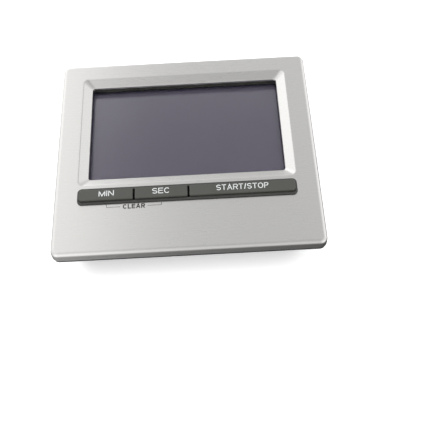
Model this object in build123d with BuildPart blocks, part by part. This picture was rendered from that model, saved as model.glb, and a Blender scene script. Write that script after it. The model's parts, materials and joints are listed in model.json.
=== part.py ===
from build123d import *
from math import atan2, cos, tan
import os

os.makedirs("parts", exist_ok=True)

# A slim countdown timer lying on its back. X is its width, Y runs to the top of the face, Z is out of the
# face. The origin is the centre of the back plane. All sizes are in millimetres.

# ---- driving dimensions ----
FACE_WIDTH = 85.0
FACE_HEIGHT = 76.2
FACE_Z = 15.0
FACE_CORNER = 2.2
FACE_EDGE = 1.25
SHEET = 0.6
SKIRT_Z = 11.5
SEAM = 0.05

# sunk bevel and window
WINDOW_Y = 9.25
BEVEL_WIDTH = 70.1
BEVEL_HEIGHT = 44.5
BEVEL_CORNER = 1.7
BEVEL_RUN = 3.0
BEVEL_DROP = 1.4
BEVEL_EDGE = 0.9
LIP_EDGE = 0.3
WINDOW_WIDTH = BEVEL_WIDTH - 2 * BEVEL_RUN
WINDOW_HEIGHT = BEVEL_HEIGHT - 2 * BEVEL_RUN
WINDOW_CORNER = 1.0
BEVEL_ANGLE = atan2(BEVEL_DROP, BEVEL_RUN)
BEVEL_SHEET_DROP = SHEET / cos(BEVEL_ANGLE)
BEVEL_LAP = SHEET * tan(BEVEL_ANGLE / 2)
LIP_Z = FACE_Z - BEVEL_DROP
LIP_BOTTOM_Z = LIP_Z - BEVEL_SHEET_DROP
SHEET_BOTTOM_Z = FACE_Z - SHEET

# key row: the keys rise inside a thin collar that stands through the slot in the face plate
KEY_Y = -17.5
KEY_DEPTH = 4.1
KEY_TOP_Z = 16.3
KEY_ROW_HALF = 34.4
KEY_GAP = 0.55
KEY_GAP_1_X = -16.9
KEY_GAP_2_X = 0.45
KEY_END_CORNER = 1.0
KEY_GAP_CORNER = 0.4
KEY_EDGE = 0.38
COLLAR_TOP_Z = 15.45
COLLAR_HALF = 34.95
COLLAR_DEPTH = 5.8
COLLAR_CORNER = 1.5
COLLAR_CLEARANCE = 0.075
KEY_WALL = 0.8
KEY_ROOF = 1.1
SLOT_WIDTH = 2 * (COLLAR_HALF + COLLAR_CLEARANCE)
SLOT_DEPTH = COLLAR_DEPTH + 2 * COLLAR_CLEARANCE
SLOT_CORNER = COLLAR_CORNER + COLLAR_CLEARANCE
FLANGE_LIP = 0.6
FLANGE_Z = 12.6
FLANGE_TOP_Z = 13.3
STEM_RADIUS = 1.3

# front housing
TAPE = 0.15
PLATE_TOP_Z = SHEET_BOTTOM_Z - TAPE
PLATE_Z = 13.4
HOUSING_WIDTH = 83.4
HOUSING_HEIGHT = 74.6
HOUSING_CORNER = FACE_CORNER - 0.8
HOUSING_WALL = 1.2
HOUSING_WALL_Z = 12.0
SEAT_WIDTH = 72.6
SEAT_HEIGHT = 46.6
SEAT_Z = 11.6
SEAT_CLEARANCE = 0.25
RIM_CLEARANCE = 0.15
POST_X = 35.0
POST_Y_TOP = 26.0
POST_Y_BOTTOM = -8.0
POST_RADIUS = 1.3
CASE_SCREW_X = 32.0
CASE_SCREW_Y = -27.0
BOSS_RADIUS = 2.4
BOSS_Z = 5.0
BOSS_GAP = 0.1
HOOK_X = 22.0
HOOK_WIDTH = 6.0
HOOK_WINDOW_WIDTH = 6.6
HOOK_WINDOW_DEPTH = 1.6
HOOK_WINDOW_Y = HOUSING_HEIGHT / 2 - HOUSING_WALL
HOOK_WINDOW_Z = 12.25
HOOK_WINDOW_HEIGHT = 0.65

# display stack, from the lens down
LENS_TOP_Z = 11.45
LENS_Z = 10.45
LENS_WIDTH = 66.8
LENS_HEIGHT = 40.7
LENS_TAPE_SETBACK = 0.2
GLASS_WIDTH = 65.2
GLASS_TOP_Y = 29.3
GLASS_LOW_Y = -10.7
GLASS_LEDGE_Y = -13.2
POLARISER_Z = 10.2
FRONT_GLASS_Z = 9.65
REAR_GLASS_Z = 9.1
REFLECTOR_Z = 8.9
POLARISER = 0.2
HOLDER_TOP_Z = 10.35

# main board
BOARD_WIDTH = 73.2
BOARD_LOW_Y = -20.1
BOARD_TOP_Y = 31.0
BOARD_Z = 5.8
BOARD_TOP_Z = 7.0
BOARD_CORNER = 1.0
MAT_TOP_Z = 7.6
DOME_TOP_Z = 9.3

# rear case
BACK_WIDTH = 71.0
BACK_HEIGHT = 62.0
BACK_CORNER = 3.0
BACK_EDGE = 0.8
BAND_WIDTH = 84.3
BAND_HEIGHT = 75.5
BAND_CORNER = FACE_CORNER - 0.35
BAND_Z = 10.2
BAND_TOP_Z = SKIRT_Z - SEAM
FLOOR = 1.6
SIDE_INSET = 1.91
INNER_CORNER_STEP = 1.0
RIM_TOP_Z = 11.9
RIM_WIDTH = 83.4
RIM_HEIGHT = 74.6

# battery bay and cell
CELL_Y = -27.2
CELL_Z = 6.95
CELL_RADIUS = 5.25
CELL_BODY = 43.5
CELL_NUB = 1.0
CELL_NUB_RADIUS = 1.9
CELL_X = -22.25
BAY_RADIUS = 5.5
BAY_WALL = 0.8
BAY_X_MIN = -25.5
BAY_X_MAX = 24.0
BAY_END = 1.0

# battery door
DOOR_HALF = 24.0
DOOR_Y = -20.4
DOOR_TOP_Z = 6.0
DOOR_FLOOR = 1.3
DOOR_SIDE_INSET = 1.55
DOOR_CLEARANCE = 0.15
TONGUE = 0.9

# stand
STAND_HALF = 20.0
STAND_AXIS_Y = -14.0
STAND_AXIS_Z = 1.6
STAND_TOP_Y = 14.0
STAND_Z = 0.3
STAND_TOP_Z = 2.7
HEEL_RADIUS = 1.3
RECESS_HALF = 20.3
RECESS_Y_MIN = -15.8
RECESS_Y_MAX = 14.3
RECESS_TOP_Z = 3.1
RECESS_WALL = 1.6
RECESS_ROOF = 1.2
PIN_RADIUS = 0.9
PIN_LENGTH = 1.2
PIN_CLEARANCE = 0.07

# magnets and buzzer
MAGNET_X = 22.5
MAGNET_Y = 22.5
MAGNET_RADIUS = 5.95
MAGNET_THICKNESS = 2.0
BUZZER_Y = 22.8
BUZZER_RADIUS = 6.0
BUZZER_Z = 3.0

POSTS = [(x, y) for x in (-POST_X, POST_X) for y in (POST_Y_BOTTOM, POST_Y_TOP)]
CASE_SCREWS = [(-CASE_SCREW_X, CASE_SCREW_Y), (CASE_SCREW_X, CASE_SCREW_Y)]
WINDOW_CENTRE = (0, WINDOW_Y)


# ---- face plate: drawn sheet with a skirt, a sunk bevel and the key slot ----
with BuildPart() as face_plate:
    with BuildSketch(Plane.XY.offset(SKIRT_Z)):
        RectangleRounded(FACE_WIDTH, FACE_HEIGHT, FACE_CORNER)
    extrude(amount=FACE_Z - SKIRT_Z)
    fillet(face_plate.faces().sort_by(Axis.Z)[-1].edges(), FACE_EDGE)
    with BuildSketch(Plane.XY.offset(SKIRT_Z)):
        RectangleRounded(FACE_WIDTH - 2 * SHEET, FACE_HEIGHT - 2 * SHEET, FACE_CORNER - SHEET)
    extrude(amount=SHEET_BOTTOM_Z - SKIRT_Z, mode=Mode.SUBTRACT)
    with BuildSketch(Plane.XY.offset(SHEET_BOTTOM_Z)):
        with Locations(WINDOW_CENTRE):
            RectangleRounded(BEVEL_WIDTH + 2 * BEVEL_LAP, BEVEL_HEIGHT + 2 * BEVEL_LAP, BEVEL_CORNER)
    with BuildSketch(Plane.XY.offset(LIP_BOTTOM_Z)):
        with Locations(WINDOW_CENTRE):
            RectangleRounded(WINDOW_WIDTH, WINDOW_HEIGHT, WINDOW_CORNER)
    loft()
    with BuildSketch(Plane.XY.offset(FACE_Z)):
        with Locations(WINDOW_CENTRE):
            RectangleRounded(BEVEL_WIDTH, BEVEL_HEIGHT, BEVEL_CORNER)
    with BuildSketch(Plane.XY.offset(LIP_Z)):
        with Locations(WINDOW_CENTRE):
            RectangleRounded(WINDOW_WIDTH, WINDOW_HEIGHT, WINDOW_CORNER)
    loft(mode=Mode.SUBTRACT)
    with BuildSketch(Plane.XY.offset(LIP_BOTTOM_Z)):
        with Locations(WINDOW_CENTRE):
            RectangleRounded(WINDOW_WIDTH, WINDOW_HEIGHT, WINDOW_CORNER)
    extrude(amount=BEVEL_SHEET_DROP, mode=Mode.SUBTRACT)
    top_face = face_plate.faces().filter_by(Plane.XY).sort_by(Axis.Z)[-1]
    fillet(top_face.inner_wires().edges(), BEVEL_EDGE)
    fillet(face_plate.edges().filter_by_position(Axis.Z, LIP_Z - SEAM, LIP_Z + SEAM), LIP_EDGE)
    with BuildSketch(Plane.XY.offset(SHEET_BOTTOM_Z)):
        with Locations((0, KEY_Y)):
            RectangleRounded(SLOT_WIDTH, SLOT_DEPTH, SLOT_CORNER)
    extrude(amount=SHEET, mode=Mode.SUBTRACT)

# ---- adhesive sheet between the face plate and the front housing ----
TAPE_BORDER = 0.4
with BuildPart() as face_adhesive:
    with BuildSketch(Plane.XY.offset(PLATE_TOP_Z)):
        RectangleRounded(HOUSING_WIDTH - 2 * TAPE_BORDER, HOUSING_HEIGHT - 2 * TAPE_BORDER, HOUSING_CORNER)
        with Locations(WINDOW_CENTRE):
            RectangleRounded(
                BEVEL_WIDTH + 4 * TAPE_BORDER,
                BEVEL_HEIGHT + 4 * TAPE_BORDER,
                BEVEL_CORNER,
                mode=Mode.SUBTRACT,
            )
        with Locations((0, KEY_Y)):
            RectangleRounded(
                SLOT_WIDTH + 2 * TAPE_BORDER,
                SLOT_DEPTH + 2 * TAPE_BORDER,
                SLOT_CORNER,
                mode=Mode.SUBTRACT,
            )
    extrude(amount=TAPE)

# ---- front housing: plate, rim wall, bevel seat, key collar, board posts and case bosses ----
BOSS_BORE = 0.8
BOSS_BORE_DEPTH = 5.5
POST_BORE = 0.6
POST_BORE_DEPTH = 4.2
VOID_GAP = 0.08
VOID_BOTTOM_Z = LIP_BOTTOM_Z - VOID_GAP
with BuildPart() as front_housing:
    with BuildSketch(Plane.XY.offset(PLATE_Z)):
        RectangleRounded(HOUSING_WIDTH, HOUSING_HEIGHT, HOUSING_CORNER)
    extrude(amount=PLATE_TOP_Z - PLATE_Z)
    with BuildSketch(Plane.XY.offset(HOUSING_WALL_Z)):
        RectangleRounded(HOUSING_WIDTH, HOUSING_HEIGHT, HOUSING_CORNER)
        RectangleRounded(
            HOUSING_WIDTH - 2 * HOUSING_WALL,
            HOUSING_HEIGHT - 2 * HOUSING_WALL,
            HOUSING_CORNER - HOUSING_WALL,
            mode=Mode.SUBTRACT,
        )
    extrude(amount=PLATE_Z - HOUSING_WALL_Z)
    with BuildSketch(Plane.XY.offset(SEAT_Z)):
        with Locations(WINDOW_CENTRE):
            RectangleRounded(SEAT_WIDTH, SEAT_HEIGHT, BEVEL_CORNER)
    extrude(amount=PLATE_Z - SEAT_Z)
    with BuildSketch(Plane.XY.offset(BOARD_TOP_Z)):
        with Locations(*POSTS):
            Circle(POST_RADIUS)
    extrude(amount=SEAT_Z - BOARD_TOP_Z)
    with BuildSketch(Plane.XY.offset(BOSS_Z)):
        with Locations(*CASE_SCREWS):
            Circle(BOSS_RADIUS)
    extrude(amount=PLATE_Z - BOSS_Z)
    with BuildSketch(Plane.XY.offset(SHEET_BOTTOM_Z)):
        with Locations(WINDOW_CENTRE):
            RectangleRounded(
                BEVEL_WIDTH + 2 * (BEVEL_LAP + SEAT_CLEARANCE),
                BEVEL_HEIGHT + 2 * (BEVEL_LAP + SEAT_CLEARANCE),
                BEVEL_CORNER,
            )
    with BuildSketch(Plane.XY.offset(VOID_BOTTOM_Z)):
        with Locations(WINDOW_CENTRE):
            RectangleRounded(
                WINDOW_WIDTH + 2 * SEAT_CLEARANCE,
                WINDOW_HEIGHT + 2 * SEAT_CLEARANCE,
                WINDOW_CORNER,
            )
    loft(mode=Mode.SUBTRACT)
    with BuildSketch(Plane.XY.offset(SEAT_Z)):
        with Locations(WINDOW_CENTRE):
            RectangleRounded(
                WINDOW_WIDTH + 2 * RIM_CLEARANCE,
                WINDOW_HEIGHT + 2 * RIM_CLEARANCE,
                WINDOW_CORNER,
            )
    extrude(amount=PLATE_TOP_Z - SEAT_Z, mode=Mode.SUBTRACT)
    with BuildSketch(Plane.XY.offset(PLATE_TOP_Z)):
        with Locations((0, KEY_Y)):
            RectangleRounded(2 * COLLAR_HALF, COLLAR_DEPTH, COLLAR_CORNER)
    extrude(amount=COLLAR_TOP_Z - PLATE_TOP_Z)
    with BuildSketch(Plane.XY.offset(PLATE_Z)):
        with Locations((0, KEY_Y)):
            RectangleRounded(
                2 * (KEY_ROW_HALF + COLLAR_CLEARANCE),
                KEY_DEPTH + 2 * COLLAR_CLEARANCE,
                KEY_END_CORNER,
            )
    extrude(amount=COLLAR_TOP_Z - PLATE_Z, mode=Mode.SUBTRACT)
    with BuildSketch(Plane.XY.offset(BOSS_Z)):
        with Locations(*CASE_SCREWS):
            Circle(BOSS_BORE)
    extrude(amount=BOSS_BORE_DEPTH, mode=Mode.SUBTRACT)
    with BuildSketch(Plane.XY.offset(BOARD_TOP_Z)):
        with Locations(*POSTS):
            Circle(POST_BORE)
    extrude(amount=POST_BORE_DEPTH, mode=Mode.SUBTRACT)
    with BuildSketch(Plane.XY.offset(HOOK_WINDOW_Z)):
        with Locations((-HOOK_X, HOOK_WINDOW_Y), (HOOK_X, HOOK_WINDOW_Y)):
            Rectangle(HOOK_WINDOW_WIDTH, HOOK_WINDOW_DEPTH)
    extrude(amount=HOOK_WINDOW_HEIGHT, mode=Mode.SUBTRACT)


# ---- key caps: hollow cap inside the collar, a flange under the housing and a stem down to the dome ----
# The ends of the row are well rounded, and the corners at the gaps between keys are nearly square.
def make_key(x_min, x_max, lip_left, lip_right):
    width = x_max - x_min
    centre = ((x_min + x_max) / 2, KEY_Y)
    flange_centre = (centre[0] + (lip_right - lip_left) / 2, KEY_Y)
    with BuildPart() as key:
        with BuildSketch(Plane.XY.offset(FLANGE_TOP_Z)) as outline:
            with Locations(centre):
                Rectangle(width, KEY_DEPTH)
            fillet(outline.vertices().group_by(Axis.X)[0], KEY_END_CORNER if lip_left else KEY_GAP_CORNER)
            fillet(outline.vertices().group_by(Axis.X)[-1], KEY_END_CORNER if lip_right else KEY_GAP_CORNER)
        extrude(amount=KEY_TOP_Z - FLANGE_TOP_Z)
        fillet(key.faces().sort_by(Axis.Z)[-1].edges(), KEY_EDGE)
        with BuildSketch(Plane.XY.offset(FLANGE_Z)):
            with Locations(flange_centre):
                RectangleRounded(width + lip_left + lip_right, KEY_DEPTH + 2 * FLANGE_LIP, KEY_GAP_CORNER)
        extrude(amount=FLANGE_TOP_Z - FLANGE_Z)
        with BuildSketch(Plane.XY.offset(FLANGE_Z)):
            with Locations(centre):
                RectangleRounded(width - 2 * KEY_WALL, KEY_DEPTH - 2 * KEY_WALL, KEY_GAP_CORNER)
        extrude(amount=KEY_TOP_Z - KEY_ROOF - FLANGE_Z, mode=Mode.SUBTRACT)
        with BuildSketch(Plane.XY.offset(DOME_TOP_Z + SEAM)):
            with Locations(centre):
                Circle(STEM_RADIUS)
        extrude(amount=KEY_TOP_Z - KEY_ROOF - DOME_TOP_Z - SEAM)
    return key


MIN_X = (-KEY_ROW_HALF, KEY_GAP_1_X - KEY_GAP / 2)
SEC_X = (KEY_GAP_1_X + KEY_GAP / 2, KEY_GAP_2_X - KEY_GAP / 2)
START_X = (KEY_GAP_2_X + KEY_GAP / 2, KEY_ROW_HALF)
key_min = make_key(*MIN_X, FLANGE_LIP, 0)
key_sec = make_key(*SEC_X, 0, 0)
key_start_stop = make_key(*START_X, 0, FLANGE_LIP)

# ---- silicone domes and the carbon pills inside them ----
DOME_BASE = 2.05
DOME_CROWN = 1.5
DOME_BORE_BASE = 1.6
DOME_BORE_CROWN = 1.25
DOME_CEILING_Z = 8.4
PILL_RADIUS = 1.1
PILL_Z = 7.95
PILL_TOP_Z = 8.35


def make_dome(x):
    with BuildPart() as dome:
        with BuildSketch(Plane.XY.offset(MAT_TOP_Z)):
            with Locations((x, KEY_Y)):
                Circle(DOME_BASE)
        with BuildSketch(Plane.XY.offset(DOME_TOP_Z)):
            with Locations((x, KEY_Y)):
                Circle(DOME_CROWN)
        loft()
        with BuildSketch(Plane.XY.offset(MAT_TOP_Z)):
            with Locations((x, KEY_Y)):
                Circle(DOME_BORE_BASE)
        with BuildSketch(Plane.XY.offset(DOME_CEILING_Z)):
            with Locations((x, KEY_Y)):
                Circle(DOME_BORE_CROWN)
        loft(mode=Mode.SUBTRACT)
    return dome


def make_pill(x):
    with BuildPart() as pill:
        with BuildSketch(Plane.XY.offset(PILL_Z)):
            with Locations((x, KEY_Y)):
                Circle(PILL_RADIUS)
        extrude(amount=PILL_TOP_Z - PILL_Z)
    return pill


KEY_CENTRES = {"min": sum(MIN_X) / 2, "sec": sum(SEC_X) / 2, "start_stop": sum(START_X) / 2}
domes = {f"dome_{name}": make_dome(x) for name, x in KEY_CENTRES.items()}
pills = {f"carbon_pill_{name}": make_pill(x) for name, x in KEY_CENTRES.items()}

# ---- keypad mat, flat on the board, open under each dome ----
MAT_X_MIN = -29.5
MAT_X_MAX = 22.0
MAT_LOW_Y = -20.0
MAT_HIGH_Y = -14.4
MAT_CORNER = 0.6
with BuildPart() as keypad_mat:
    with BuildSketch(Plane.XY.offset(BOARD_TOP_Z)):
        with Locations(((MAT_X_MIN + MAT_X_MAX) / 2, (MAT_LOW_Y + MAT_HIGH_Y) / 2)):
            RectangleRounded(MAT_X_MAX - MAT_X_MIN, MAT_HIGH_Y - MAT_LOW_Y, MAT_CORNER)
        with Locations(*[(x, KEY_Y) for x in KEY_CENTRES.values()]):
            Circle(DOME_BORE_BASE, mode=Mode.SUBTRACT)
    extrude(amount=MAT_TOP_Z - BOARD_TOP_Z)

# ---- display: adhesive frame, lens, polariser, two glasses, reflector ----
with BuildPart() as lens_adhesive:
    with BuildSketch(Plane.XY.offset(LENS_TOP_Z)):
        with Locations(WINDOW_CENTRE):
            RectangleRounded(LENS_WIDTH, LENS_HEIGHT, WINDOW_CORNER)
            RectangleRounded(
                WINDOW_WIDTH + 2 * LENS_TAPE_SETBACK,
                WINDOW_HEIGHT + 2 * LENS_TAPE_SETBACK,
                WINDOW_CORNER,
                mode=Mode.SUBTRACT,
            )
    extrude(amount=SEAT_Z - LENS_TOP_Z)

with BuildPart() as display_lens:
    with BuildSketch(Plane.XY.offset(LENS_Z)):
        with Locations(WINDOW_CENTRE):
            RectangleRounded(LENS_WIDTH, LENS_HEIGHT, WINDOW_CORNER)
    extrude(amount=LENS_TOP_Z - LENS_Z)


def make_layer(z_min, z_max, low_y, inset):
    with BuildPart() as layer:
        with BuildSketch(Plane.XY.offset(z_min)):
            with Locations((0, (low_y + GLASS_TOP_Y) / 2)):
                Rectangle(GLASS_WIDTH - 2 * inset, GLASS_TOP_Y - low_y - 2 * inset)
        extrude(amount=z_max - z_min)
    return layer


POLARISER_INSET = 0.1
lcd_front_polariser = make_layer(POLARISER_Z, POLARISER_Z + POLARISER, GLASS_LOW_Y, POLARISER_INSET)
lcd_front_glass = make_layer(FRONT_GLASS_Z, POLARISER_Z, GLASS_LEDGE_Y, 0)
lcd_rear_glass = make_layer(REAR_GLASS_Z, FRONT_GLASS_Z, GLASS_LOW_Y, 0)
lcd_reflector = make_layer(REFLECTOR_Z, REAR_GLASS_Z, GLASS_LOW_Y, POLARISER_INSET)

# ---- zebra connector between the glass ledge and the board ----
ZEBRA_HALF = 30.8
ZEBRA_Y = -12.1
ZEBRA_DEPTH = 1.7
ZEBRA_CLEARANCE = 0.1
with BuildPart() as zebra_connector:
    with BuildSketch(Plane.XY.offset(BOARD_TOP_Z)):
        with Locations((0, ZEBRA_Y)):
            Rectangle(2 * ZEBRA_HALF, ZEBRA_DEPTH)
    extrude(amount=FRONT_GLASS_Z - BOARD_TOP_Z)

# ---- display holder: a frame with a shelf and a slot for the zebra connector ----
HOLDER_WALL = 0.6
HOLDER_GAP = 0.15
SHELF_Z = 8.1
SHELF_LEDGE = 1.0
HOLDER_INNER_WIDTH = GLASS_WIDTH + 2 * HOLDER_GAP
HOLDER_INNER_HEIGHT = GLASS_TOP_Y - GLASS_LEDGE_Y + 2 * HOLDER_GAP
HOLDER_Y = (GLASS_TOP_Y + GLASS_LEDGE_Y) / 2
with BuildPart() as lcd_holder:
    with BuildSketch(Plane.XY.offset(BOARD_TOP_Z)):
        with Locations((0, HOLDER_Y)):
            RectangleRounded(
                HOLDER_INNER_WIDTH + 2 * HOLDER_WALL,
                HOLDER_INNER_HEIGHT + 2 * HOLDER_WALL,
                HOLDER_WALL,
            )
            Rectangle(HOLDER_INNER_WIDTH, HOLDER_INNER_HEIGHT, mode=Mode.SUBTRACT)
    extrude(amount=HOLDER_TOP_Z - BOARD_TOP_Z)
    with BuildSketch(Plane.XY.offset(SHELF_Z)):
        with Locations((0, HOLDER_Y)):
            Rectangle(HOLDER_INNER_WIDTH, HOLDER_INNER_HEIGHT)
        with Locations((0, (GLASS_LOW_Y + GLASS_TOP_Y) / 2)):
            Rectangle(
                GLASS_WIDTH - 2 * SHELF_LEDGE,
                GLASS_TOP_Y - GLASS_LOW_Y - 2 * SHELF_LEDGE,
                mode=Mode.SUBTRACT,
            )
        with Locations((0, ZEBRA_Y)):
            Rectangle(
                2 * (ZEBRA_HALF + ZEBRA_CLEARANCE),
                ZEBRA_DEPTH + 2 * ZEBRA_CLEARANCE,
                mode=Mode.SUBTRACT,
            )
    extrude(amount=REFLECTOR_Z - SHELF_Z)

# ---- main board and what is soldered under it ----
BOARD_SCREW_HOLE = 0.7
with BuildPart() as main_board:
    with BuildSketch(Plane.XY.offset(BOARD_Z)):
        with Locations((0, (BOARD_LOW_Y + BOARD_TOP_Y) / 2)):
            RectangleRounded(BOARD_WIDTH, BOARD_TOP_Y - BOARD_LOW_Y, BOARD_CORNER)
        with Locations(*POSTS):
            Circle(BOARD_SCREW_HOLE, mode=Mode.SUBTRACT)
    extrude(amount=BOARD_TOP_Z - BOARD_Z)

BOARD_SCREW_HEAD = 1.2
BOARD_SCREW_HEAD_HEIGHT = 0.8
BOARD_SCREW_SHANK = 0.55
BOARD_SCREW_LENGTH = 4.8
with BuildPart() as board_screws:
    with BuildSketch(Plane.XY.offset(BOARD_Z - BOARD_SCREW_HEAD_HEIGHT)):
        with Locations(*POSTS):
            Circle(BOARD_SCREW_HEAD)
    extrude(amount=BOARD_SCREW_HEAD_HEIGHT)
    with BuildSketch(Plane.XY.offset(BOARD_Z)):
        with Locations(*POSTS):
            Circle(BOARD_SCREW_SHANK)
    extrude(amount=BOARD_SCREW_LENGTH)

BLOB_RADIUS = 3.6
BLOB_HEIGHT = 1.0
BLOB_EDGE = 0.7
BLOB_PLACE = (9, 4)
with BuildPart() as controller_blob:
    with BuildSketch(Plane.XY.offset(BOARD_Z - BLOB_HEIGHT)):
        with Locations(BLOB_PLACE):
            Circle(BLOB_RADIUS)
    extrude(amount=BLOB_HEIGHT)
    fillet(controller_blob.edges().sort_by(Axis.Z)[0], BLOB_EDGE)

CRYSTAL_RADIUS = 1.0
CRYSTAL_LENGTH = 6.0
CRYSTAL_X = -28.0
CRYSTAL_Y = 2.0
with BuildPart() as quartz_crystal:
    with BuildSketch(Plane.XZ.offset(-CRYSTAL_Y)):
        with Locations((CRYSTAL_X, BOARD_Z - CRYSTAL_RADIUS)):
            Circle(CRYSTAL_RADIUS)
    extrude(amount=-CRYSTAL_LENGTH)

SMD_SPOTS = [(-12, 2), (-12, 5), (-12, 8), (-6, 11), (-3, 11), (18, 2), (18, 6), (27, -6), (27, -2), (27, 2)]
SMD_HEIGHT = 0.6
SMD_LENGTH = 1.6
SMD_WIDTH = 0.8
with BuildPart() as surface_mount_parts:
    with BuildSketch(Plane.XY.offset(BOARD_Z - SMD_HEIGHT)):
        with Locations(*SMD_SPOTS):
            Rectangle(SMD_LENGTH, SMD_WIDTH)
    extrude(amount=SMD_HEIGHT)

# ---- rear case ----
RECESS_Y = (RECESS_Y_MIN + RECESS_Y_MAX) / 2
RECESS_LENGTH = RECESS_Y_MAX - RECESS_Y_MIN
MAGNET_POCKET = 0.1
MAGNET_BOSS = 1.0
MAGNET_BOSS_Z = 3.0
SPEAKER_HOLE = 0.6
CASE_BOSS_RADIUS = 2.6
CASE_BOSS_TOP_Z = BOSS_Z - BOSS_GAP
SCREW_HEAD_BORE = 1.95
SCREW_HEAD_DEPTH = 2.2
SCREW_HOLE = 1.0
MAGNETS = [(-MAGNET_X, MAGNET_Y), (MAGNET_X, MAGNET_Y)]
SOUND_HOLE_CIRCLE = 2.8
RING_WALL = 0.9
RING_LEDGE = 0.6
RING_CLEARANCE = 0.15
RING_RISE = 0.4
PIN_END_GAP = 0.15
BELOW_BACK_Z = -1.0
GROOVE_Z = 0.35
GROOVE_HEIGHT = 0.75
GROOVE_STOP_Y = DOOR_Y - 0.4
GROOVE_DEPTH = 1.0
HOOK_ARM = 1.0
HOOK_ARM_Y = 35.4
HOOK_Z = 9.0
HOOK_RISE = 4.0
HOOK_CATCH = 0.9
HOOK_CATCH_Y = 36.05
HOOK_CATCH_GAP = 0.1
TAIL_Y = -24.5
TAIL_Z = 9.5
TAIL_HOLE_WIDTH = 1.4
TAIL_HOLE_HEIGHT = 0.7


def shell_size(z, inset):
    """Width and height of the case's sloping side at a height, inset from its outside."""
    width = BACK_WIDTH + (BAND_WIDTH - BACK_WIDTH) * z / BAND_Z
    height = BACK_HEIGHT + (BAND_HEIGHT - BACK_HEIGHT) * z / BAND_Z
    return width - 2 * inset, height - 2 * inset


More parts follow.
